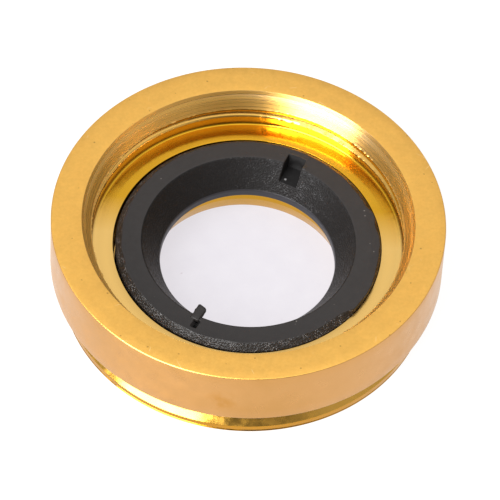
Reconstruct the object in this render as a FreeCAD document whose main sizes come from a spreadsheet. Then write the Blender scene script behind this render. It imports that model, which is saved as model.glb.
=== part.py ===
import FreeCAD, Part
import os
import Sketcher
from FreeCAD import Placement, Rotation, Vector

# Adapter ring for small telescope fittings: an anodised aluminium ring with a threaded mouth
# and a clamped spigot, and a moulded baffle insert that sits in a pocket inside it.
# Millimetres. The origin is the centre of the foot and +Z points out of the threaded mouth.

SIZES = {
    # adapter ring, outside
    "ring_height": 9.0,
    "flange_radius": 17.0,
    "flange_underside": 3.3,
    "edge_break": 0.2,
    "spigot_radius": 16.0,
    "spigot_land": 0.8,
    "clamp_groove_depth": 0.6,
    "scribe_height": 0.24,
    "scribe_depth": 0.12,
    # adapter ring, inside
    "mouth_radius": 14.35,
    "mouth_chamfer": 1.54,
    "thread_minor_radius": 13.46,
    "thread_major_radius": 14.0,
    "thread_pitch": 1.0,
    "thread_mouth_half": 0.46,
    "thread_root_half": 0.06,
    "thread_run_in": 0.15,
    "thread_end_height": 6.5,
    "thread_travel": 1.0,
    "relief_top": 6.4,
    "relief_depth": 0.06,
    "seat_height": 5.45,
    "seat_corner": 0.22,
    "pocket_radius": 11.62,
    "pocket_floor": 2.5,
    "bore_radius": 8.25,
    "bore_foot_flare": 0.4,
    "bore_flare_height": 1.4,
    # baffle insert
    "insert_radius": 11.5,
    "insert_height": 3.5,
    "insert_bevel": 0.55,
    "insert_foot_bevel": 0.2,
    "shoulder_radius": 9.25,
    "shoulder_round": 0.4,
    "throat_radius": 7.6,
    "throat_height": 0.85,
    "throat_edge": 0.25,
    "throat_round": 0.3,
    # key notch in the insert's funnel
    "notch_width": 1.64,
    "notch_outer": 10.3,
    "notch_inner": 7.0,
    "notch_depth": 1.55,
    # small tab, and the slot behind it
    "tab_width": 0.76,
    "tab_tip": 8.2,
    "tab_root": 9.7,
    "tab_rise": 0.12,
    "tab_thickness": 0.5,
    "slot_width": 0.56,
    "slot_inner": 9.8,
    "slot_outer": 10.5,
    "slot_depth": 0.7,
}

# Directions round the axis, in degrees from +X towards +Y.
THREAD_END_ANGLE = -25.0
NOTCH_ANGLE = 68.0
TAB_ANGLE = 244.3
SLOT_ANGLE = 246.0

document = FreeCAD.newDocument("adapter_ring")


def make_sheet():
    """Write every driving dimension into one spreadsheet, each under its own alias."""
    sheet = document.addObject("Spreadsheet::Sheet", "Sizes")
    for row, (name, value) in enumerate(SIZES.items(), start=1):
        sheet.set("A%d" % row, name)
        sheet.set("B%d" % row, str(value))
        sheet.setAlias("B%d" % row, name)
    document.recompute()


def amount(terms):
    """Add up a sum of size names, such as 'ring_height - edge_break', as a number."""
    total = 0.0
    sign = 1.0
    for word in terms.split():
        if word in ("+", "-"):
            sign = 1.0 if word == "+" else -1.0
        else:
            total += sign * SIZES[word]
    return total


def formula(terms):
    """The same sum as an expression on the spreadsheet, in millimetres."""
    words = [word if word in ("+", "-") else "Sizes." + word for word in terms.split()]
    return "(" + " ".join(words) + ") * 1 mm"


def make_body(name):
    body = document.addObject("PartDesign::Body", name)
    body.Label = name
    return body


def add_sketch(body, name, plane, offset):
    """A sketch on one of the body's own origin planes, moved and turned by an offset."""
    sketch = body.newObject("Sketcher::SketchObject", name)
    support = [item for item in body.Origin.OriginFeatures if item.Role == plane]
    sketch.AttachmentSupport = [(support[0], "")]
    sketch.MapMode = "FlatFace"
    sketch.AttachmentOffset = offset
    return sketch


def draw_polygon(sketch, places):
    """Join the places with lines into a closed outline."""
    count = len(places)
    for index in range(count):
        sketch.addGeometry(Part.LineSegment(places[index], places[(index + 1) % count]), False)
    for index in range(count):
        sketch.addConstraint(Sketcher.Constraint("Coincident", index, 2, (index + 1) % count, 1))


def tie(sketch, kind, ends, terms):
    """Dimension a sketch between two points with a sum of sizes from the sheet."""
    place = sketch.addConstraint(Sketcher.Constraint(kind, *ends, amount(terms)))
    if terms:
        sketch.setExpression("Constraints[%d]" % place, formula(terms))


def add_section(body, name, corners, turn=0.0):
    """A half section through the axis. Each corner is a radius and a height, as sums of sizes."""
    offset = Placement(Vector(0, 0, 0), Rotation(Vector(0, 1, 0), turn))
    sketch = add_sketch(body, name, "XZ_Plane", offset)
    draw_polygon(sketch, [Vector(amount(radius), amount(height), 0) for radius, height in corners])
    for index, (radius, height) in enumerate(corners):
        tie(sketch, "DistanceX", (-1, 1, index, 1), radius)
        tie(sketch, "DistanceY", (-1, 1, index, 1), height)
    return sketch


def add_strip(body, name, height, angle, reach, width):
    """A flat rectangle at a height, from one radius to another along a direction."""
    offset = Placement(Vector(0, 0, amount(height)), Rotation(Vector(0, 0, 1), angle))
    sketch = add_sketch(body, name, "XY_Plane", offset)
    sketch.setExpression("AttachmentOffset.Base.z", formula(height))
    near, far = (amount(terms) for terms in reach)
    half = amount(width) / 2
    draw_polygon(sketch, [Vector(near, -half), Vector(far, -half), Vector(far, half), Vector(near, half)])
    for index, kind in enumerate(("Horizontal", "Vertical", "Horizontal")):
        sketch.addConstraint(Sketcher.Constraint(kind, index))
    sketch.addConstraint(Sketcher.Constraint("Symmetric", 0, 1, 2, 2, -1))
    tie(sketch, "DistanceX", (-1, 1, 0, 1), reach[0])
    tie(sketch, "DistanceX", (-1, 1, 0, 2), reach[1])
    tie(sketch, "DistanceY", (1, 1, 1, 2), width)
    return sketch


def revolve(body, name, sketch):
    feature = body.newObject("PartDesign::Revolution", name)
    feature.Profile = sketch
    feature.ReferenceAxis = (sketch, ["V_Axis"])
    feature.Angle = 360.0
    document.recompute()


def round_edge(body, name, radius, height, size):
    """Round the circular edge that has this radius at this height."""
    base = body.Tip
    names = []
    for index, edge in enumerate(base.Shape.Edges, start=1):
        if not isinstance(edge.Curve, Part.Circle):
            continue
        off_radius = abs(edge.Curve.Radius - amount(radius))
        off_height = abs(edge.Curve.Center.z - amount(height))
        if max(off_radius, off_height) < 1e-4:
            names.append("Edge%d" % index)
    if not names:
        raise RuntimeError("no edge to round for " + name)
    feature = body.newObject("PartDesign::Fillet", name)
    feature.Base = (base, names)
    feature.Radius = amount(size)
    feature.setExpression("Radius", formula(size))
    document.recompute()


def extrude_down(body, name, kind, sketch, depth):
    """Pocket or pad a sketch downwards, and check that the solid's volume changed."""
    before = body.Tip.Shape.Volume
    feature = body.newObject("PartDesign::" + kind, name)
    feature.Profile = sketch
    feature.Length = amount(depth)
    feature.setExpression("Length", formula(depth))
    feature.Reversed = kind == "Pad"
    document.recompute()
    change = feature.Shape.Volume - before
    if (change > 0) != (kind == "Pad") or abs(change) < 1e-3:
        raise RuntimeError(name + " went the wrong way")


def cut_helix(body, name, sketch, pitch, travel):
    """Cut a right-hand helical groove round the axis, climbing from the sketch."""
    before = body.Tip.Shape.Volume
    groove = body.newObject("PartDesign::SubtractiveHelix", name)
    groove.Profile = sketch
    groove.ReferenceAxis = (sketch, ["V_Axis"])
    groove.Mode = "pitch-height-angle"
    groove.Pitch = amount(pitch)
    groove.Height = amount(travel)
    groove.setExpression("Pitch", formula(pitch))
    groove.setExpression("Height", formula(travel))
    groove.LeftHanded = False
    document.recompute()
    if groove.Shape.Volume > before - 1.0:
        raise RuntimeError(name + " cuts nothing")


def make_adapter_ring():
    """The turned aluminium ring: flange, threaded mouth, seat, pocket, bore and clamped spigot."""
    body = make_body("adapter_ring")
    corners = [
        ("bore_radius + bore_foot_flare", ""),
        ("spigot_radius - edge_break", ""),
        ("spigot_radius", "scribe_height - scribe_depth"),
        ("spigot_radius - scribe_depth", "scribe_height"),
        ("spigot_radius", "scribe_height + scribe_depth"),
        ("spigot_radius", "spigot_land"),
        ("spigot_radius - clamp_groove_depth", "spigot_land + clamp_groove_depth"),
        ("spigot_radius - clamp_groove_depth", "flange_underside - clamp_groove_depth"),
        ("spigot_radius", "flange_underside"),
        ("flange_radius - edge_break", "flange_underside"),
        ("flange_radius", "flange_underside + edge_break"),
        ("flange_radius", "ring_height - edge_break"),
        ("flange_radius - edge_break", "ring_height"),
        ("mouth_radius", "ring_height"),
        ("thread_minor_radius", "ring_height - mouth_chamfer"),
        ("thread_minor_radius", "relief_top"),
        ("thread_minor_radius + relief_depth", "seat_height"),
        ("pocket_radius", "seat_height"),
        ("pocket_radius", "pocket_floor"),
        ("bore_radius", "pocket_floor"),
        ("bore_radius", "bore_flare_height"),
    ]
    revolve(body, "ring_turning", add_section(body, "ring_section", corners))
    seat_edge = "thread_minor_radius + relief_depth"
    round_edge(body, "seat_corner_round", seat_edge, "seat_height", "seat_corner")
    inner = "thread_minor_radius - thread_run_in"
    groove = [
        (inner, "thread_end_height - thread_mouth_half"),
        ("thread_major_radius", "thread_end_height - thread_root_half"),
        ("thread_major_radius", "thread_end_height + thread_root_half"),
        (inner, "thread_end_height + thread_mouth_half"),
    ]
    section = add_section(body, "thread_section", groove, THREAD_END_ANGLE)
    cut_helix(body, "mouth_thread", section, "thread_pitch", "thread_travel")


def make_baffle_insert():
    """The moulded insert: a bevelled ring with a funnel, a key notch and a small tab."""
    body = make_body("baffle_insert")
    top = "pocket_floor + insert_height"
    corners = [
        ("throat_radius + throat_edge", "pocket_floor"),
        ("insert_radius - insert_foot_bevel", "pocket_floor"),
        ("insert_radius", "pocket_floor + insert_foot_bevel"),
        ("insert_radius", top + " - insert_bevel"),
        ("insert_radius - insert_bevel", top),
        ("shoulder_radius", top),
        ("throat_radius", "pocket_floor + throat_height"),
        ("throat_radius", "pocket_floor + throat_edge"),
    ]
    revolve(body, "insert_moulding", add_section(body, "insert_section", corners))
    round_edge(body, "shoulder_rounding", "shoulder_radius", top, "shoulder_round")
    round_edge(body, "throat_rounding", "throat_radius", "pocket_floor + throat_height", "throat_round")
    reach = ("notch_inner", "notch_outer")
    notch = add_strip(body, "notch_outline", top, NOTCH_ANGLE, reach, "notch_width")
    extrude_down(body, "key_notch", "Pocket", notch, "notch_depth")
    reach = ("slot_inner", "slot_outer")
    slot = add_strip(body, "slot_outline", top, SLOT_ANGLE, reach, "slot_width")
    extrude_down(body, "tab_slot", "Pocket", slot, "slot_depth")
    reach = ("tab_tip", "tab_root")
    tab = add_strip(body, "tab_outline", top + " + tab_rise", TAB_ANGLE, reach, "tab_width")
    extrude_down(body, "tab", "Pad", tab, "tab_thickness")


def check_and_export():
    """Stop on any failed object or bad solid, then write one STEP file for each body."""
    for item in document.Objects:
        if "Invalid" in item.State or "Error" in item.State:
            raise RuntimeError(item.Name + " failed: " + str(item.State))
    os.makedirs("parts", exist_ok=True)
    for item in document.Objects:
        if item.TypeId != "PartDesign::Body":
            continue
        if item.Shape.isNull() or not item.Shape.isValid() or len(item.Shape.Solids) != 1:
            raise RuntimeError(item.Label + " isn't one valid solid")
        item.Shape.exportStep("parts/" + item.Label + ".step")
        print(item.Label, round(item.Shape.Volume, 1), "mm3")


make_sheet()
make_adapter_ring()
make_baffle_insert()
document.recompute()
check_and_export()
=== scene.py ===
import math

import bpy
import numpy as np
from mathutils import Matrix, Vector


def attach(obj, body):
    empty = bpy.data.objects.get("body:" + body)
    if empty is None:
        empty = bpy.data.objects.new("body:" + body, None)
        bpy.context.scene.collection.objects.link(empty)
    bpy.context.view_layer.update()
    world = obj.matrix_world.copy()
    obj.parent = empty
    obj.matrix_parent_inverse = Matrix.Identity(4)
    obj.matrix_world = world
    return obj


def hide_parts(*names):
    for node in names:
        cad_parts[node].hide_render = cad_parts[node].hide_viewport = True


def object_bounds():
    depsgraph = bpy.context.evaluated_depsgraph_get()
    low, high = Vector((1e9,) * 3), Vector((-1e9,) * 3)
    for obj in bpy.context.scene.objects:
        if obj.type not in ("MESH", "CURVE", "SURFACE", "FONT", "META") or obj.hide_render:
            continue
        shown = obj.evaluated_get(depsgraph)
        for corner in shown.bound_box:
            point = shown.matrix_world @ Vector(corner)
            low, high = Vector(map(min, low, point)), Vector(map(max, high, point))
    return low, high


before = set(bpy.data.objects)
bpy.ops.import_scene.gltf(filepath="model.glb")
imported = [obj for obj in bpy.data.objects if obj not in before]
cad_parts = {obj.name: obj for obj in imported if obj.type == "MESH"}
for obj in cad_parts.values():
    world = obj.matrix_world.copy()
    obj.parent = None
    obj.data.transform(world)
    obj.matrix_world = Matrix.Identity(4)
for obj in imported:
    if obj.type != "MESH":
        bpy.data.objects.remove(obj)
CAD_BOX = [list(corner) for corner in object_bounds()]
MM = 0.001

# Sizes are in mm, as in the CAD.
# Directions (phi) are in degrees round the axis, from the front (-Y) towards the right (+X).
RIM_Z, FLANGE_R, FLANGE_Z, EDGE, RIM_ROUND = 9.0, 17.0, 3.3, 0.2, 0.11
SPIGOT_R, LAND_Z, CLAMP_DEPTH = 16.0, 0.8, 0.6
SCRIBE_Z, SCRIBE_DEPTH = 0.24, 0.12
MOUTH_R, CHAMFER_FOOT_Z = 14.35, 7.46
MINOR_R, MAJOR_R, PITCH, RUN_IN = 13.46, 14.0, 1.0, 0.15
THREAD_MOUTH, THREAD_ROOT = 0.46, 0.06
FLANK = (THREAD_MOUTH - THREAD_ROOT) / (MAJOR_R - MINOR_R + RUN_IN)
THREAD_END_Z, THREAD_PHI, THREAD_RAMP, THREAD_RUNOUT = 6.5, 65.0, 20.0, 335.0
RELIEF_Z, RELIEF = 6.4, 0.06
SEAT_Z, SEAT_ROUND = 5.45, 0.22
POCKET_R, POCKET_Z = 11.62, 2.5
BORE_R, FLARE, FLARE_Z = 8.25, 0.4, 1.4
INSERT_R, INSERT_TOP, INSERT_BEVEL, INSERT_FOOT = 11.5, 6.0, 0.55, 0.2
SHOULDER_R, SHOULDER_SOFT = 9.25, 0.22
THROAT_R, THROAT_TOP, THROAT_ROUND, THROAT_EDGE = 7.6, 3.35, 0.3, 0.25
NOTCH_PHI, NOTCH_HALF, NOTCH_OUT, NOTCH_Z = 158.0, 0.82, 10.3, 4.45
TAB_PHI, TAB_TIP, TAB_ROOT, TAB_TOP, TAB_FOOT = 334.3, 8.2, 9.7, 6.12, 5.62
SLOT_ASIDE, SLOT_HALF, SLOT_OUT, SLOT_Z = 0.3, 0.28, 10.5, 5.3
CRUMB_PHI, CRUMB_R = 40.7, 10.85
INSERT_SHIFT = 0.1


# ------------------------------------------------------------------ mesh tools
def rounded(corners, steps=4):
    """An open (r, z) line with its corners rounded. Each corner is (r, z) or (r, z, radius)."""
    line = []
    for i, corner in enumerate(corners):
        here = Vector(corner[:2])
        radius = corner[2] if len(corner) > 2 else 0
        if not radius or i in (0, len(corners) - 1):
            line.append(tuple(here))
            continue
        back = (Vector(corners[i - 1][:2]) - here).normalized()
        on = (Vector(corners[i + 1][:2]) - here).normalized()
        half = math.acos(max(-1, min(1, back.dot(on)))) / 2
        reach = radius / math.tan(half)
        centre = here + (back + on).normalized() * radius / math.sin(half)
        first, last = here + back * reach - centre, here + on * reach - centre
        turn = math.pi - 2 * half
        for k in range(steps + 1):
            t = k / steps
            spot = (first * math.sin((1 - t) * turn) + last * math.sin(t * turn)) / math.sin(turn)
            line.append(tuple(centre + spot))
    return line


def spaced(line, longest):
    """The same line with points added on its long runs."""
    out = [line[0]]
    for a, b in zip(line, line[1:]):
        n = max(1, math.ceil(math.hypot(b[0] - a[0], b[1] - a[1]) / longest))
        out += [(a[0] + (b[0] - a[0]) * k / n, a[1] + (b[1] - a[1]) * k / n) for k in range(1, n + 1)]
    return out


def around(phi, r, z):
    """A point in mm from its direction, radius and height."""
    a = np.radians(phi)
    return np.stack([r * np.sin(a), -r * np.cos(a), z + 0 * a * r], -1)


def wave(phi, seed, waves):
    """A smooth seeded wander round the ring, about -1 to 1, with up to this many waves."""
    rng = np.random.default_rng(seed)
    a = np.radians(phi)
    total = 0
    for n in range(1, waves + 1):
        total = total + rng.normal() * np.sin(n * a + rng.uniform(0, 2 * math.pi))
    return total / math.sqrt(waves)


def smooth(t):
    """A share from 0 to 1, eased at both ends."""
    return t * t * (3 - 2 * t)


def step_down(distance, width):
    """1 well inside an edge, 0 well outside it, smooth across width."""
    return smooth(np.clip(distance / width + 0.5, 0, 1))


def ridge_at(distance, width):
    """1 on a line and 0 away from it, with a bell's shape."""
    return np.exp(-(distance / width) ** 2)


def mesh_piece(name, points, faces, slots, materials):
    """A mesh object from points in mm. Points in one place are joined, and faces with no area dropped."""
    keys, index = {}, []
    kept = []
    for p in np.round(points, 5).tolist():
        k = tuple(p)
        if k not in keys:
            keys[k] = len(kept)
            kept.append(k)
        index.append(keys[k])
    clean, marks = [], []
    for face, slot in zip(faces, slots):
        loop = [index[v] for v in face]
        loop = [v for i, v in enumerate(loop) if v != loop[i - 1]]
        if len(set(loop)) > 2 and len(set(loop)) == len(loop):
            clean.append(loop)
            marks.append(slot)
    mesh = bpy.data.meshes.new(name)
    mesh.from_pydata([[c * MM for c in p] for p in kept], [], clean)
    for m in materials:
        mesh.materials.append(m)
    mesh.polygons.foreach_set("material_index", marks)
    mesh.polygons.foreach_set("use_smooth", [True] * len(clean))
    mesh.validate()
    piece = bpy.data.objects.new(name, mesh)
    bpy.context.scene.collection.objects.link(piece)
    weigh = piece.modifiers.new("even_shading", "WEIGHTED_NORMAL")
    weigh.mode, weigh.weight, weigh.keep_sharp = "FACE_AREA", 60, True
    return piece


def grid_faces(rows, columns, offset):
    """Quads between the columns of a rows by columns grid, closed round the ring."""
    faces = []
    for j in range(columns):
        a, b = offset + j * rows, offset + (j + 1) % columns * rows
        faces += [[a + i, b + i, b + i + 1, a + i + 1] for i in range(rows - 1)]
    return faces


# ------------------------------------------------------------------ the ring
RING_COLUMNS, RING_ROW_STEP = 720, 1.2
GOLD_RIM, GOLD_WALL, GOLD_TURNED, GOLD_CONE, GOLD_SEAT, GOLD_LAND, GOLD_THREAD, GOLD_PAINTED_SHADE = range(8)
TAPER = (MOUTH_R - MINOR_R) / (RIM_Z - CHAMFER_FOOT_Z)
# a small step at the chamfer's foot, round the back
STEP_DEPTH, STEP_HEIGHT, STEP_FADE_HEIGHT, STEP_PHI, STEP_HALF, STEP_FADE = 0.05, 0.07, 1.2, 176, 60, 30
# wall_column's bands from the bottom: those coloured dark as painted shade, in the corner at the chamfer's
# foot and at the top of the groove's upper flank, and the first one of the chamfer
PAINTED_SHADE_HEIGHT, PAINTED_SHADE_BANDS, CHAMFER_BAND, BAND_ROWS = 0.09, (5, 7), 8, 3
# burrs stand on some columns only, in patches of (direction, half width, fade, share of the full height)
BURR_LOTS = np.random.default_rng(11).random(RING_COLUMNS)
BURRS = np.where(BURR_LOTS > 0.78, 0.06 * BURR_LOTS, 0)
FOOT_PATCHES, GROOVE_PATCHES = ((186, 16, 8, 1.0), (124, 6, 4, 0.6)), ((189, 7, 4, 0.7),)
BURR_ZONE, FOOT_BURR_RISE, FOOT_BURR_WIDTH, GROOVE_BURR_WIDTH = 0.16, 0.03, 0.035, 0.05
# the groove's burrs take their lots from this many columns further on
GROOVE_LOTS_AHEAD = 90


def plain_wall(z):
    """The radius of the mouth's inner wall before the thread is cut."""
    relief = RELIEF * np.clip((RELIEF_Z - z) / (RELIEF_Z - SEAT_Z), 0, 1)
    return MINOR_R + TAPER * np.clip(z - CHAMFER_FOOT_Z, 0, None) + relief


def burr_height(turned, patches, ahead=0):
    """How far a burr stands out of the wall in one column."""
    lot = BURRS[int(turned * RING_COLUMNS / 360 + ahead) % RING_COLUMNS]
    phi = THREAD_PHI + turned
    return lot * sum(share * step_down(abs(phi - at) - half, fade) for at, half, fade, share in patches)


def wall_column(turned, foot):
    """Heights and radii down one column of the mouth's inner wall, with one turn of thread groove cut in it.
    turned is how far round the column is from the thread's end, in degrees."""
    centre = THREAD_END_Z + PITCH * turned / 360
    if turned > THREAD_RUNOUT:
        centre -= PITCH * (turned - THREAD_RUNOUT) / (360 - THREAD_RUNOUT)
    ease = max(min(turned, THREAD_RUNOUT - turned, THREAD_RAMP) / THREAD_RAMP, 0)
    root = MINOR_R + (MAJOR_R - MINOR_R) * smooth(ease)
    low, high = centre - THREAD_ROOT, centre + THREAD_ROOT
    first, last = low - (root - MINOR_R) * FLANK, high + (root - MINOR_R) * FLANK
    if last > CHAMFER_FOOT_Z:
        start = root + high / FLANK
        last = (start - MINOR_R + TAPER * CHAMFER_FOOT_Z) / (1 / FLANK + TAPER)
    keys = [foot, RELIEF_Z, first, low, high, last - PAINTED_SHADE_HEIGHT, last, CHAMFER_FOOT_Z - PAINTED_SHADE_HEIGHT, CHAMFER_FOOT_Z,
            CHAMFER_FOOT_Z + STEP_HEIGHT, CHAMFER_FOOT_Z + BURR_ZONE, RIM_Z]
    keys = np.sort(np.clip(keys, foot, RIM_Z))
    bands = [np.linspace(a, b, BAND_ROWS + 1)[:-1] for a, b in zip(keys, keys[1:])]
    z = np.concatenate(bands + [keys[-1:]])
    away = np.maximum(np.maximum(low - z, z - high), 0)
    r = np.maximum(plain_wall(z), root - away / FLANK)
    above = z - CHAMFER_FOOT_Z
    r = r - burr_height(turned, FOOT_PATCHES) * ridge_at(above - FOOT_BURR_RISE, FOOT_BURR_WIDTH)
    r = r - burr_height(turned, GROOVE_PATCHES, GROOVE_LOTS_AHEAD) * ridge_at(z - first, GROOVE_BURR_WIDTH)
    step = STEP_DEPTH * step_down(abs(THREAD_PHI + turned - STEP_PHI) - STEP_HALF, STEP_FADE)
    return z, r + step * np.clip(above / STEP_HEIGHT, 0, 1) * np.clip((RIM_Z - z) / STEP_FADE_HEIGHT, 0, 1)


def ring_slot(kind, row, rows, r, z):
    """The material of one band of the ring: row counts its faces down a column of that kind.
    The borders are set a little off the sizes, because the corners are rounded."""
    if kind == "wall":
        band = (rows - 2 - row) // BAND_ROWS
        # painted shade: these thin bands are coloured dark where shade falls in the corners
        if band in PAINTED_SHADE_BANDS:
            return GOLD_PAINTED_SHADE
        return GOLD_THREAD if band < CHAMFER_BAND else GOLD_TURNED
    if kind == "seat":
        return GOLD_SEAT
    if z > RIM_Z - 0.04 and r > MOUTH_R + 0.02:
        return GOLD_RIM
    if r > FLANGE_R - 0.25 and z > FLANGE_Z + 0.1:
        return GOLD_WALL
    if r > SPIGOT_R - CLAMP_DEPTH - 0.05 and z < FLANGE_Z:
        return GOLD_CONE if z > LAND_Z else GOLD_LAND
    return GOLD_TURNED


def build_ring(materials):
    """The ring as one closed surface: outside and rim, threaded wall, then seat, pocket and bore."""
    seat = rounded(
        [(plain_wall(SEAT_Z + 1), SEAT_Z + 1), (MINOR_R + RELIEF, SEAT_Z, SEAT_ROUND),
         (POCKET_R, SEAT_Z, 0.04), (POCKET_R, POCKET_Z, 0.05), (BORE_R, POCKET_Z, 0.06),
         (BORE_R, FLARE_Z, 0.2), (BORE_R + FLARE, 0, 0.05), (SPIGOT_R - EDGE, 0)])[1:]
    outside = rounded(
        [(BORE_R + FLARE, 0), (SPIGOT_R - EDGE, 0, 0.04), (SPIGOT_R, SCRIBE_Z - SCRIBE_DEPTH, 0.03),
         (SPIGOT_R - SCRIBE_DEPTH, SCRIBE_Z, 0.03), (SPIGOT_R, SCRIBE_Z + SCRIBE_DEPTH, 0.03),
         (SPIGOT_R, LAND_Z, 0.05), (SPIGOT_R - CLAMP_DEPTH, LAND_Z + CLAMP_DEPTH, 0.05),
         (SPIGOT_R - CLAMP_DEPTH, FLANGE_Z - CLAMP_DEPTH, 0.05), (SPIGOT_R, FLANGE_Z, 0.03),
         (FLANGE_R, FLANGE_Z, EDGE), (FLANGE_R, RIM_Z, RIM_ROUND), (MOUTH_R, RIM_Z, 0.05),
         (plain_wall(RIM_Z - 0.3), RIM_Z - 0.3)])[1:]
    outside, seat = spaced(outside, RING_ROW_STEP), spaced(seat[:-1], RING_ROW_STEP)
    foot, top = seat[0][1], outside[-1]
    step = 360 / RING_COLUMNS
    parts = {"outside": [], "wall": [], "seat": []}
    for j in range(RING_COLUMNS):
        z, r = wall_column(step * j, foot)
        below = z < top[1]
        z, r = np.where(below, z, top[1]), np.where(below, r, np.maximum(r, top[0]))
        lines = (np.array(outside), np.stack([r, z], 1)[::-1], np.array(seat))
        for part, line in zip(parts.values(), lines):
            part.append(around(THREAD_PHI + step * j, line[:, 0], line[:, 1]))
    points, faces, slots = [], [], []
    for kind, part in parts.items():
        rows = len(part[0])
        faces += grid_faces(rows, RING_COLUMNS, len(points))
        middles = (part[0][:-1] + part[0][1:]) / 2
        down = [ring_slot(kind, i, rows, math.hypot(x, y), z) for i, (x, y, z) in enumerate(middles)]
        slots += down * RING_COLUMNS
        points += [p for column in part for p in column]
    return mesh_piece("turned_ring", np.array(points), faces, slots, materials)


# ------------------------------------------------------------------ the insert
BLACK_FACE, BLACK_FUNNEL, BLACK_THROAT, BLACK_BEVEL, BLACK_RECESS_PAINTED_SHADE = range(5)
# degrees each side of the notch and the tab that their own columns take up, and between plain columns
NOTCH_ZONE, TAB_ZONE, COLUMN_STEP, EASE_COLUMNS = 15, 7, 0.75, 14
# how far short of a zone the plain columns stop, and where the last one may stand, both in degrees
ZONE_GAP, LAST_PHI = 1, 359.7
# the longest steps down a column: on the insert's sides, its upper surface and its throat
SIDE_STEP, UPPER_STEP, THROAT_STEP, CORNER_STEPS = 0.25, 0.055, 0.12, 6


def column_plan():
    """Columns round the insert, as (anchor direction, sideways offset, share of the far direction, far one).
    Beside the notch and the tab they run parallel to its sides, and elsewhere they point at the axis."""
    def plain(start, stop):
        return [(0, 0, 1, phi) for phi in np.arange(start, stop, COLUMN_STEP)]

    def zone(anchor, offsets, spread):
        edge, ease = max(offsets), [k / EASE_COLUMNS for k in range(1, EASE_COLUMNS)]
        left = [(anchor, -edge, 1 - t, anchor - spread) for t in ease]
        right = [(anchor, edge, t, anchor + spread) for t in ease]
        return [(anchor, 0, 1, anchor - spread)] + left + [(anchor, x, 0, anchor) for x in offsets] + right

    # sideways offsets in mm, closest together at the notch's walls
    wall = [0.74, 0.77, 0.79, 0.81, 0.84, 0.88]
    between = [0.08 * k for k in range(-20, 21) if not 0.7 < abs(0.08 * k) < 0.9]
    notch = sorted([-x for x in wall] + wall + between)
    tab = [0.05 * k for k in range(-12, 17)]
    plan = plain(0, NOTCH_PHI - NOTCH_ZONE - ZONE_GAP) + zone(NOTCH_PHI, notch, NOTCH_ZONE)
    plan += plain(NOTCH_PHI + NOTCH_ZONE, TAB_PHI - TAB_ZONE - ZONE_GAP) + zone(TAB_PHI, tab, TAB_ZONE)
    return plan + plain(TAB_PHI + TAB_ZONE, LAST_PHI)


def directions(column, r):
    """The direction of each point of a column at radius r."""
    anchor, offset, share, far = column
    return (1 - share) * (anchor + np.degrees(np.arcsin(offset / r))) + share * far


def beside(anchor, phi, r):
    """Places seen from the axis along a direction: how far to the side, and how far out."""
    turn = np.radians(phi - anchor)
    return r * np.sin(turn), r * np.cos(turn)


def bumps(x, y, *several):
    """Small round bumps, each (side, out, size, height)."""
    return sum(height * ridge_at(np.hypot(x - at, y - out), size) for at, out, size, height in several)


# how softly the sides and the ends of the notch and the slot fall away, and how deep counts as sunk
SIDE_SOFT, END_SOFT, SUNK_DEPTH = 0.05, 0.06, 0.12
# the chips beside the notch, the speck in it, and the crumb on the flat top, as bumps
NOTCH_CHIPS = ((-1.0, 9.42, 0.13, 0.09), (-1.08, 9.66, 0.1, 0.05), (0.98, 9.62, 0.055, 0.05),
               (1.12, 9.95, 0.055, 0.05), (1.3, 10.1, 0.055, 0.05), (1.02, 9.84, 0.055, 0.05),
               (1.22, 9.74, 0.055, 0.05), (1.42, 9.97, 0.055, 0.05))
NOTCH_DOT = (0.4, 8.72, 0.11, 0.08)
CRUMB = (0, CRUMB_R, 0.07, 0.16)


def insert_relief(phi, r, z):
    """The insert's upper surface with the notch, the slot behind the tab, moulding lips and specks."""
    x, y = beside(NOTCH_PHI, phi, r)
    this_side = y > 0
    inside = step_down(NOTCH_HALF - np.abs(x), SIDE_SOFT) * step_down(NOTCH_OUT - y, END_SOFT) * this_side
    lip = 0.035 * ridge_at(y - NOTCH_OUT - 0.06, 0.05) * step_down(NOTCH_HALF + 0.02 - np.abs(x), 0.1)
    lip = lip + 0.045 * ridge_at(x + NOTCH_HALF + 0.05, 0.045) * step_down(y - NOTCH_OUT + 0.1, 0.2)
    lip = (lip + bumps(x, y, *NOTCH_CHIPS)) * this_side
    floor = NOTCH_Z + bumps(x, y, NOTCH_DOT)
    sill = 0.04 * ridge_at(z - NOTCH_Z + 0.05, 0.06) * step_down(NOTCH_HALF - np.abs(x), 0.1) * this_side
    z = np.where(z > floor, z + lip + (floor - z - lip) * inside, z + sill)
    z = z + bumps(*beside(CRUMB_PHI, phi, r), CRUMB)
    x, y = beside(TAB_PHI, phi, r)
    slot = step_down(SLOT_HALF - np.abs(x - SLOT_ASIDE), SIDE_SOFT)
    slot = slot * step_down(SLOT_OUT - y, END_SOFT) * step_down(y - TAB_ROOT, END_SOFT)
    return np.where((slot > 0) & (z > SLOT_Z), z + (SLOT_Z - z) * slot, z)


# the moulding flash on the insert's right edge, between two directions
FLASH_FROM, FLASH_TO, FLASH_FADE, FLASH_WIDTH, FLASH_MOST = 52, 112, 8, 0.42, 0.55
FLASH_R, FLASH_EASE, FLASH_SAG, EDGE_WANDER = 10.6, 0.35, 0.05, 0.03


def edge_flaws(phi, r, z):
    """Flash spreads the top edge on the right, and it wanders a little everywhere else."""
    window = step_down(phi - FLASH_FROM, FLASH_FADE) * step_down(FLASH_TO - phi, FLASH_FADE)
    ragged = window * (FLASH_WIDTH + 0.12 * wave(phi, 3, 26) + 0.03 * wave(phi, 4, 70))
    rise = np.clip((z - SEAT_Z) / INSERT_BEVEL, 0, 1) * np.clip((r - FLASH_R) / FLASH_EASE, 0, 1)
    r = r + rise * np.clip(ragged, 0, FLASH_MOST) - rise * EDGE_WANDER * wave(phi, 5, 30) * (1 - window)
    return r, z - rise * FLASH_SAG * window


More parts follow.
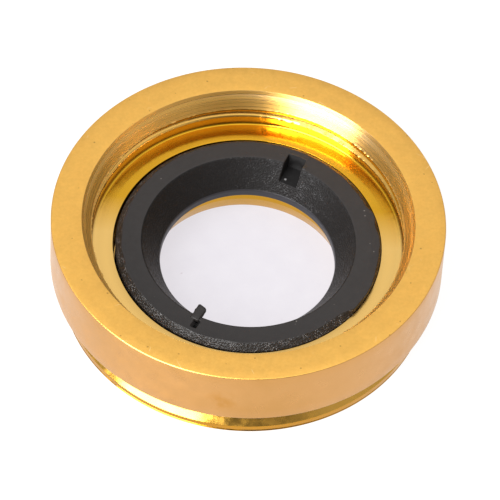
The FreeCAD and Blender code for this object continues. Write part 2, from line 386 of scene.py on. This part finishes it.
def insert_slot(sunk, r, z):
    """The material of one face of the insert."""
    if sunk:
        return BLACK_RECESS_PAINTED_SHADE
    if z > INSERT_TOP - 0.02:
        return BLACK_FACE
    if r > INSERT_R - INSERT_BEVEL - 0.05:
        return BLACK_BEVEL
    return BLACK_FUNNEL if z > THROAT_TOP + 0.12 else BLACK_THROAT


# the tab's sections from its root to its torn tip, as (distance from the axis, half width, drop of its top)
TAB_SECTIONS = ((TAB_ROOT + 0.05, 0.34, 0.06), (TAB_ROOT - 0.1, 0.36, 0.03), (9.4, 0.35, 0.0),
                (9.1, 0.36, 0.01), (8.8, 0.37, 0.0), (8.5, 0.36, 0.02), (TAB_TIP + 0.1, 0.37, 0.0),
                (TAB_TIP, 0.3, 0.05))
TAB_OUTLINE = ((-1, 0.15), (-1, 0.85), (-0.8, 1), (0, 1.03), (0.8, 1), (1, 0.85), (1, 0.15), (0.8, 0),
               (0, 0), (-0.8, 0))
TAB_WIDEN, TAB_WOBBLE, TIP_SLANT = 1.12, 0.018, 0.07


def tab_shell(base):
    """Points and faces of the tab: uneven sections joined up, its points numbered from base."""
    rng = np.random.default_rng(7)
    points, n = [], len(TAB_OUTLINE)
    for y, half, drop in TAB_SECTIONS:
        for u, v in TAB_OUTLINE:
            wobble = rng.normal(0, TAB_WOBBLE, 3)
            x = u * half * TAB_WIDEN + wobble[0]
            z = min(TAB_FOOT + (TAB_TOP - TAB_FOOT - drop) * min(v, 1) + wobble[1], TAB_TOP)
            reach = y + wobble[2] + (TIP_SLANT * u if y < TAB_TIP + 0.2 else 0)
            points.append(around(TAB_PHI + math.degrees(math.atan2(x, reach)), math.hypot(x, reach), z))
    starts = [base + s * n for s in range(len(TAB_SECTIONS))]
    faces = [[a + c, a + (c + 1) % n, a + (c + 1) % n + n, a + c + n] for a in starts[:-1] for c in range(n)]
    faces += [[starts[0] + c for c in range(n)][::-1], [starts[-1] + c for c in range(n)]]
    return points, faces


def build_insert(materials):
    """The moulded insert as one closed surface, with its tab as a second shell that grows out of it."""
    outer = rounded(
        [(THROAT_R + THROAT_EDGE, POCKET_Z), (INSERT_R - INSERT_FOOT, POCKET_Z, 0.05),
         (INSERT_R, POCKET_Z + INSERT_FOOT, 0.05), (INSERT_R, INSERT_TOP - INSERT_BEVEL, 0.08),
         (INSERT_R - INSERT_BEVEL, INSERT_TOP, 0.1), (SHOULDER_R, INSERT_TOP)])[:-1]
    upper = rounded(
        [(INSERT_R - INSERT_BEVEL - 0.1, INSERT_TOP), (SHOULDER_R, INSERT_TOP, SHOULDER_SOFT),
         (THROAT_R, THROAT_TOP, THROAT_ROUND), (THROAT_R, POCKET_Z + THROAT_EDGE, 0.05),
         (THROAT_R + THROAT_EDGE, POCKET_Z)], CORNER_STEPS)
    lower, upper = upper[-CORNER_STEPS - 1:], spaced(upper[:-CORNER_STEPS], UPPER_STEP)
    outer = spaced(outer, SIDE_STEP)
    loop = np.array(outer + upper + spaced(lower, THROAT_STEP)[1:-1])
    rows, plan = len(loop), column_plan()
    top = slice(len(outer), len(outer) + len(upper))
    points, faces, slots = [], grid_faces(rows, len(plan), 0), []
    for column in plan:
        phi = directions(column, loop[:, 0])
        r, z = edge_flaws(float(phi[top.start]), loop[:, 0], loop[:, 1])
        whole = z[top].copy()
        z[top] = insert_relief(phi[top], r[top], whole)
        deep = np.zeros(rows, bool)
        deep[top] = whole - z[top] > SUNK_DEPTH
        for i in range(rows - 1):
            sunk = top.start <= i < top.stop and (deep[i] or deep[min(i + 1, top.stop - 1)])
            slots.append(insert_slot(sunk, *(loop[i] + loop[i + 1]) / 2))
        points += list(around(phi, r, z))
    for j in range(len(plan)):
        here, there = j * rows, (j + 1) % len(plan) * rows
        faces.append([here + rows - 1, there + rows - 1, there, here])
        slots.append(BLACK_THROAT)
    tab_points, tab_faces = tab_shell(len(points))
    slots += [BLACK_FACE] * len(tab_faces)
    points = np.array(points + tab_points) + [INSERT_SHIFT, 0, 0]
    return mesh_piece("moulded_insert", points, faces + tab_faces, slots, materials)


# ------------------------------------------------------------------ materials
class Nodes:
    """A material with one Principled shader, and short calls that add nodes to it."""

    def __init__(self, name, colour, **plain):
        self.material = bpy.data.materials.new(name)
        self.material.use_nodes = True
        self.tree = self.material.node_tree
        self.shader = self.tree.nodes["Principled BSDF"]
        self.shader.inputs["Base Color"].default_value = (*colour, 1)
        for key, value in plain.items():
            self.shader.inputs[key.replace("_", " ")].default_value = value
        self.place = self.add("TexCoord").outputs["Object"]

    def add(self, kind, **settings):
        node = self.tree.nodes.new("ShaderNode" + kind)
        for key, value in settings.items():
            setattr(node, key, value)
        return node

    def fill(self, socket, value):
        if isinstance(value, bpy.types.NodeSocket):
            self.tree.links.new(value, socket)
        else:
            socket.default_value = value

    def maths(self, operation, *values):
        node = self.add("Math", operation=operation)
        for socket, value in zip(node.inputs, values):
            self.fill(socket, value)
        return node.outputs[0]

    def vector_maths(self, operation, *values):
        node = self.add("VectorMath", operation=operation)
        for socket, value in zip(node.inputs, values):
            self.fill(socket, value)
        return node

    def axis(self, name):
        """The X, Y or Z of the place, in metres."""
        node = self.add("SeparateXYZ")
        self.fill(node.inputs[0], self.place)
        return node.outputs[name]

    def from_axis(self):
        """The distance from the axis, in metres."""
        flat = self.vector_maths("MULTIPLY", self.place, (1, 1, 0))
        return self.vector_maths("LENGTH", flat.outputs[0]).outputs["Value"]

    def distance_to(self, spot):
        return self.vector_maths("DISTANCE", self.place, spot).outputs["Value"]

    def noise(self, scale, detail):
        node = self.add("TexNoise")
        self.fill(node.inputs["Vector"], self.place)
        node.inputs["Scale"].default_value = scale
        node.inputs["Detail"].default_value = detail
        return node.outputs["Fac"]

    def turning(self, feed, detail=1.0):
        """Noise that only changes across the lathe marks: the same all the way round the axis."""
        across = self.maths("MULTIPLY_ADD", self.from_axis(), 0.62, self.axis("Z"))
        node = self.add("TexNoise", noise_dimensions="1D")
        self.fill(node.inputs["W"], self.maths("MULTIPLY", across, 1 / feed))
        node.inputs["Scale"].default_value = 1
        node.inputs["Detail"].default_value = detail
        return node.outputs["Fac"]

    def cells(self, scale, feature="F1"):
        node = self.add("TexVoronoi", feature=feature)
        self.fill(node.inputs["Vector"], self.place)
        node.inputs["Scale"].default_value = scale
        return node

    def ramp(self, value, low, high, to_low=0.0, to_high=1.0):
        node = self.add("MapRange")
        for socket, number in zip(node.inputs, (value, low, high, to_low, to_high)):
            self.fill(socket, number)
        return node.outputs[0]

    def colours(self, share, a, b):
        node = self.add("Mix", data_type="RGBA")
        self.fill(node.inputs[0], share)
        for socket, colour in zip((node.inputs[6], node.inputs[7]), (a, b)):
            self.fill(socket, (*colour, 1) if isinstance(colour, tuple) else colour)
        return node.outputs[2]

    def height(self, value, distance, strength, under=None):
        node = self.add("Bump")
        node.inputs["Strength"].default_value = strength
        node.inputs["Distance"].default_value = distance
        self.fill(node.inputs["Height"], value)
        if under is not None:
            self.fill(node.inputs["Normal"], under)
        return node.outputs[0]

    def across_marks(self):
        """Spread the highlight across the lathe marks."""
        tangent = self.add("Tangent", direction_type="RADIAL", axis="Z")
        self.fill(self.shader.inputs["Tangent"], tangent.outputs[0])
        self.shader.inputs["Anisotropic Rotation"].default_value = 0.25

    def use(self, **sockets):
        for key, value in sockets.items():
            self.fill(self.shader.inputs[key.replace("_", " ")], value)
        return self.material


# the plain colours that each gold's own tones replace
GOLD = (0.80, 0.44, 0.075)
GOLD_DEEP = (0.70, 0.35, 0.035)
GOLD_PALE = (0.86, 0.52, 0.14)


def gold_rim():
    """Bead-blasted and dyed top face: even sheen, fine scratches, small dark pits."""
    m = Nodes("gold_blasted", GOLD, Metallic=1.0, Coat_Weight=0.35, Coat_Roughness=0.35, Coat_IOR=1.6)
    pits = m.cells(1500)
    few = m.ramp(m.noise(1100, 0), 0.60, 0.64)
    pit = m.maths("MULTIPLY", m.ramp(pits.outputs["Distance"], 0.10, 0.16, 1, 0), few)
    lines = m.cells(520, "DISTANCE_TO_EDGE")
    worn = m.ramp(m.noise(700, 1), 0.66, 0.72)
    line = m.maths("MULTIPLY", m.ramp(lines.outputs["Distance"], 0.006, 0.016, 1, 0), worn)
    tone = m.colours(m.noise(420, 3), (0.80, 0.44, 0.085), (0.88, 0.50, 0.10))
    tone = m.colours(m.ramp(m.noise(3600, 2), 0.3, 0.7, 0, 0.35), tone, (0.66, 0.36, 0.06))
    tone = m.colours(m.maths("MULTIPLY", line, 0.5), tone, (0.98, 0.72, 0.34))
    tone = m.colours(m.maths("MULTIPLY", pit, 0.6), tone, (0.30, 0.16, 0.03))
    rough = m.ramp(m.noise(1500, 3), 0.3, 0.7, 0.40, 0.50)
    grain = m.height(m.noise(9000, 2), 0.00001, 0.35)
    normal = m.height(pit, 0.00004, -0.5, grain)
    return m.use(Base_Color=tone, Roughness=rough, Normal=normal)


def gold_wall():
    """Plain turned outer wall, satin, with faint stains and a few rubbed marks."""
    m = Nodes("gold_satin", GOLD_PALE, Metallic=1.0, Coat_Weight=0.15, Coat_Roughness=0.25, Coat_IOR=1.6,
              Anisotropic=0.5)
    stain = m.ramp(m.noise(180, 4), 0.45, 0.8)
    tone = m.colours(stain, (0.62, 0.32, 0.10), (0.55, 0.275, 0.07))
    near = m.distance_to((-0.0013, -0.0169, 0.0056))
    smudge = m.maths("MULTIPLY", m.ramp(near, 0.0005, 0.0016, 1, 0), m.ramp(m.noise(900, 3), 0.42, 0.6))
    tone = m.colours(m.maths("MULTIPLY", smudge, 0.6), tone, (0.52, 0.23, 0.03))
    rough = m.ramp(m.noise(900, 3), 0.3, 0.7, 0.27, 0.36)
    marks = m.height(m.turning(0.00009), 0.000004, 0.5)
    m.across_marks()
    return m.use(Base_Color=tone, Roughness=rough, Normal=m.height(m.noise(2600, 3), 0.00002, 0.25, marks))


def gold_turned():
    """Bright lathe-turned faces inside the mouth, with the tool's feed marks."""
    m = Nodes("gold_turned", GOLD_DEEP, Metallic=1.0, Coat_Weight=0.7, Coat_Roughness=0.3, Coat_IOR=1.7,
              Anisotropic=0.97)
    tone = m.colours(m.noise(350, 3), (0.76, 0.41, 0.065), (0.84, 0.48, 0.09))
    rough = m.ramp(m.turning(0.00015, 2), 0.36, 0.64, 0.25, 0.48)
    marks = m.height(m.turning(0.00016, 2), 0.000022, 0.9)
    m.across_marks()
    return m.use(Base_Color=tone, Roughness=rough, Normal=m.height(m.noise(2600, 2), 0.00002, 0.12, marks))


def gold_bored(name, coat, dull, bright, front):
    """Bright bored faces below the chamfer, sharper than it: the threaded wall, the seat and the pocket, and
    the dark bands of painted shade. Towards the front they are painted another colour, as painted light."""
    m = Nodes(name, GOLD_DEEP, Metallic=1.0, Coat_Weight=coat, Coat_Roughness=0.12, Coat_IOR=1.5,
              Anisotropic=0.7)
    tone = m.colours(m.noise(350, 3), dull, bright)
    # painted light: towards the front the colour turns to the front one, paler on the seat, standing in for
    # how the light falls there
    tone = m.colours(m.ramp(m.axis("Y"), 0.0005, 0.0045, 1, 0), tone, front)
    rough = m.ramp(m.turning(0.0003), 0.3, 0.7, 0.15, 0.21)
    marks = m.height(m.turning(0.00012, 2), 0.000005, 0.3)
    m.across_marks()
    return m.use(Base_Color=tone, Roughness=rough, Normal=marks)


def gold_burnished(name, dull, bright):
    """Burnished spigot: nearly a mirror, with small dents and rub marks."""
    m = Nodes(name, GOLD_DEEP, Metallic=1.0, Coat_Weight=0.25, Coat_Roughness=0.08, Coat_IOR=1.6,
              Anisotropic=0.5)
    tone = m.colours(m.noise(500, 3), dull, bright)
    rough = m.ramp(m.noise(1200, 3), 0.35, 0.7, 0.16, 0.34)
    marks = m.height(m.turning(0.00012), 0.000004, 0.5)
    m.across_marks()
    return m.use(Base_Color=tone, Roughness=rough, Normal=m.height(m.noise(700, 3), 0.00006, 0.3, marks))


def black_face():
    """Smooth matte moulding: the annulus and the tab."""
    m = Nodes("black_matte", (0.012, 0.011, 0.01), Specular_IOR_Level=0.35)
    tone = m.colours(m.noise(1400, 3), (0.0125, 0.0105, 0.010), (0.019, 0.0165, 0.016))
    dust = m.maths("MULTIPLY", m.ramp(m.cells(2600).outputs["Distance"], 0.08, 0.14, 1, 0),
                   m.ramp(m.noise(900, 0), 0.70, 0.73))
    tone = m.colours(m.maths("MULTIPLY", dust, 0.6), tone, (0.30, 0.27, 0.25))
    rough = m.ramp(m.noise(2600, 2), 0.3, 0.7, 0.46, 0.58)
    return m.use(Base_Color=tone, Roughness=rough, Normal=m.height(m.noise(11000, 2), 0.00001, 0.3))


def black_grain_painted_glints(name, painted_glint_strength, sheen, seen, from_x, to_x):
    """Spark-eroded grain of the bevel and the funnel, with painted glints: pale points mixed into its colour
    between two values of X, where the key light catches it.
    """
    m = Nodes(name, (0.012, 0.011, 0.011), Specular_IOR_Level=sheen)
    tone = m.colours(m.noise(5000, 2), (0.005, 0.0045, 0.0045), (0.014, 0.013, 0.013))
    # painted highlights: pale glint points in the colour, kept between from_x and to_x
    points = m.ramp(m.cells(7800).outputs["Distance"], 0.2, 0.36, 1, 0)
    points = m.maths("MULTIPLY", points, m.ramp(m.noise(1500, 2), seen, seen + 0.14))
    points = m.maths("MULTIPLY", points, m.ramp(m.axis("X"), from_x - 0.003, from_x + 0.003, 0.1, 1))
    points = m.maths("MULTIPLY", points, m.ramp(m.axis("X"), to_x - 0.001, to_x + 0.001, 1, 0.2))
    tone = m.colours(m.maths("MULTIPLY", points, painted_glint_strength), tone, (0.30, 0.30, 0.31))
    rough = m.ramp(m.noise(7000, 2), 0.3, 0.7, 0.36, 0.56)
    grain = m.height(m.cells(6000).outputs["Distance"], 0.00006, 0.6)
    return m.use(Base_Color=tone, Roughness=rough, Normal=grain)


def black_recess_painted_shade():
    """Walls of the key notch and of the slot behind the tab, coloured darker than the moulding round them as
    painted shade in the recesses, and duller, with a pale speck on the notch's floor.
    """
    # painted shade: a darker colour than the flat top's for the sunk walls
    m = Nodes("black_recess_painted_shade", (0.005, 0.0047, 0.0047), Specular_IOR_Level=0.12, Roughness=0.7)
    tone = m.colours(m.noise(3000, 2), (0.006, 0.0055, 0.0055), (0.011, 0.0105, 0.0105))
    near = m.distance_to((0.0030, 0.00824, 0.00452))
    tone = m.colours(m.ramp(near, 0.00008, 0.00014, 1, 0), tone, (0.16, 0.155, 0.155))
    return m.use(Base_Color=tone, Normal=m.height(m.noise(9000, 2), 0.00001, 0.3))


def black_throat():
    """Smooth satin land round the throat and the insert's hidden sides."""
    m = Nodes("black_satin", (0.018, 0.018, 0.022), Specular_IOR_Level=0.45)
    tone = m.colours(m.noise(1200, 2), (0.013, 0.013, 0.016), (0.020, 0.020, 0.025))
    rough = m.ramp(m.noise(2400, 2), 0.3, 0.7, 0.36, 0.48)
    return m.use(Base_Color=tone, Roughness=rough, Normal=m.height(m.noise(7000, 2), 0.00001, 0.3))


cone = gold_burnished("gold_cone", (0.68, 0.36, 0.05), (0.78, 0.43, 0.075))
land = gold_burnished("gold_land", (0.52, 0.23, 0.008), (0.60, 0.28, 0.012))
# each front colour below is painted light for the front side
seat = gold_bored("gold_seat", 0.1, (0.62, 0.32, 0.015), (0.70, 0.375, 0.025), front=(0.84, 0.53, 0.16))
thread = gold_bored("gold_thread", 0.6, (0.78, 0.43, 0.075), (0.86, 0.50, 0.10), front=(0.82, 0.46, 0.09))
# painted shade: the dark colour of the thin bands at the chamfer's foot and at the top of the groove
painted_shade_gold = gold_bored("gold_painted_shade", 0.05, (0.22, 0.095, 0.012), (0.32, 0.145, 0.02),
                     front=(0.30, 0.13, 0.02))
ring = build_ring([gold_rim(), gold_wall(), gold_turned(), cone, seat, land, thread, painted_shade_gold])
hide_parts("adapter_ring")
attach(ring, "root")

# both grains carry painted glints in their colour
funnel = black_grain_painted_glints("black_funnel", painted_glint_strength=0.26, sheen=0.12, seen=0.46, from_x=0.001, to_x=0.0062)
bevel = black_grain_painted_glints("black_bevel", painted_glint_strength=0.6, sheen=0.5, seen=0.42, from_x=-0.02, to_x=0.02)
insert = build_insert([black_face(), funnel, black_throat(), bevel, black_recess_painted_shade()])
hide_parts("baffle_insert")
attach(insert, "root")


# ------------------------------------------------------------------ floor, lights and camera
# radius of the paper disc, which glows less, partly as painted shade in the bore
SHADED_PAPER_R = 0.015


def flat_sheet(name, half, rows):
    """A square sheet, as a grid of quads."""
    steps = np.linspace(-half, half, rows)
    points = [(x, y, 0) for y in steps for x in steps]
    faces = [[j * rows + i, j * rows + i + 1, (j + 1) * rows + i + 1, (j + 1) * rows + i]
             for j in range(rows - 1) for i in range(rows - 1)]
    mesh = bpy.data.meshes.new(name)
    mesh.from_pydata(points, [], faces)
    sheet = bpy.data.objects.new(name, mesh)
    bpy.context.scene.collection.objects.link(sheet)
    return sheet


def light_table():
    """A white light table with a disc of thin paper under the ring that glows less: the paper's tint, fibres
    and specks are its own, and its dimming is partly painted shade in the ring's bore.
    """
    m = Nodes("light_table", (0.1, 0.1, 0.1), Roughness=0.9, Specular_IOR_Level=0.1)
    sheet = m.ramp(m.from_axis(), SHADED_PAPER_R, SHADED_PAPER_R + 0.0002, 1, 0)
    clouds = m.noise(500, 4)
    fibres = m.ramp(m.cells(900, "DISTANCE_TO_EDGE").outputs["Distance"], 0.008, 0.02, 1, 0)
    fibres = m.maths("MULTIPLY", fibres, m.ramp(m.noise(650, 1), 0.64, 0.7))
    specks = m.maths("MULTIPLY", m.ramp(m.cells(700).outputs["Distance"], 0.07, 0.11, 1, 0),
                     m.ramp(m.noise(450, 0), 0.68, 0.7))
    shade = m.colours(clouds, (0.90, 0.86, 0.92), (0.99, 0.955, 1.0))
    shade = m.colours(m.maths("MULTIPLY", fibres, 0.12), shade, (0.70, 0.60, 0.62))
    shade = m.colours(m.maths("MULTIPLY", specks, 0.5), shade, (0.55, 0.42, 0.42))
    # painted shade in part: the paper disc glows less than the table round it
    glow = m.ramp(sheet, 0, 1, 0.94, 0.74)
    return m.use(Base_Color=m.colours(sheet, (0.10, 0.10, 0.10), (0.10, 0.097, 0.104)),
                 Emission_Color=m.colours(sheet, (1.0, 1.0, 1.0), shade), Emission_Strength=glow,
                 Normal=m.height(m.noise(3000, 3), 0.00002, 0.3))


floor = flat_sheet("floor", half=1.5, rows=7)
floor.location.z = CAD_BOX[0][2]
floor.data.materials.append(light_table())


def sky(low, right, left, back, glow, top):
    """Soft room light: a bright ceiling over darker walls, darkest on the camera's side."""
    world = bpy.data.worlds.new("studio")
    world.use_nodes = True
    tree = world.node_tree
    tree.nodes.clear()
    new, link = tree.nodes.new, tree.links.new
    out, back_light = new("ShaderNodeOutputWorld"), new("ShaderNodeBackground")
    split = new("ShaderNodeSeparateXYZ")
    link(new("ShaderNodeTexCoord").outputs["Generated"], split.inputs[0])

    def ramp(value, start, stop, before, after):
        node = new("ShaderNodeMapRange")
        node.interpolation_type = "SMOOTHSTEP"
        link(value, node.inputs[0])
        for socket, number in zip(node.inputs[1:5], (start, stop, before, after)):
            if isinstance(number, bpy.types.NodeSocket):
                link(number, socket)
            else:
                socket.default_value = number
        return node.outputs[0]

    walls = ramp(split.outputs["X"], 0.3, 0.75, low, right)
    walls = ramp(split.outputs["X"], -0.6, -0.9, walls, left)
    walls = ramp(split.outputs["Y"], 0.0, 0.7, walls, back)
    light = ramp(split.outputs["Z"], 0.55, 0.85, walls, glow)
    light = ramp(split.outputs["Z"], 0.86, 0.96, light, top)
    link(light, back_light.inputs["Strength"])
    link(back_light.outputs[0], out.inputs[0])
    bpy.context.scene.world = world


def softbox(name, azimuth, elevation, distance, width, height, power):
    """An area light aimed at the object. Azimuth is round the axis from the front towards the right."""
    a, e = math.radians(azimuth), math.radians(elevation)
    way = Vector((math.sin(a) * math.cos(e), -math.cos(a) * math.cos(e), math.sin(e)))
    data = bpy.data.lights.new(name, "AREA")
    data.shape, data.size, data.size_y = "RECTANGLE", width, height
    data.energy = power
    lamp = bpy.data.objects.new(name, data)
    lamp.location = way * distance
    lamp.rotation_euler = way.to_track_quat("Z", "Y").to_euler()
    lamp.visible_camera = False
    bpy.context.scene.collection.objects.link(lamp)


sky(low=0.24, right=0.74, left=0.66, back=0.72, glow=1.3, top=1.8)
softbox("key", azimuth=-42, elevation=31, distance=0.5, width=0.37, height=0.60, power=8.2)

# the camera as solved from the outlines: degrees, then metres, then mm for the lens and its sensor
ELEVATION, ROLL, DISTANCE, FOCAL, SENSOR = 52.38, 3.47, 0.4223, 354.0, 36.0
# the place it looks at, in mm from the middle of the rim
AIM_RIGHT, AIM_UP = 0.27, -2.61
e, roll = math.radians(ELEVATION), math.radians(ROLL)
forward = Vector((0, math.cos(e), -math.sin(e)))
right, up = Vector((1, 0, 0)), Vector((0, math.sin(e), math.cos(e)))
aim = Vector((0, 0, RIM_Z * MM)) + right * AIM_RIGHT * MM + up * AIM_UP * MM
cam_x = right * math.cos(roll) + up * math.sin(roll)
cam_y = up * math.cos(roll) - right * math.sin(roll)
camera_data = bpy.data.cameras.new("camera")
camera_data.lens, camera_data.sensor_width = FOCAL, SENSOR
camera_data.clip_start, camera_data.clip_end = 0.01, 10
camera = bpy.data.objects.new("camera", camera_data)
turn = Matrix((cam_x, cam_y, -forward)).transposed().to_4x4()
camera.matrix_world = Matrix.Translation(aim - forward * DISTANCE) @ turn
bpy.context.scene.collection.objects.link(camera)
bpy.context.scene.camera = camera
bpy.context.scene.view_settings.view_transform = "Standard"
bpy.context.scene.view_settings.look = "None"
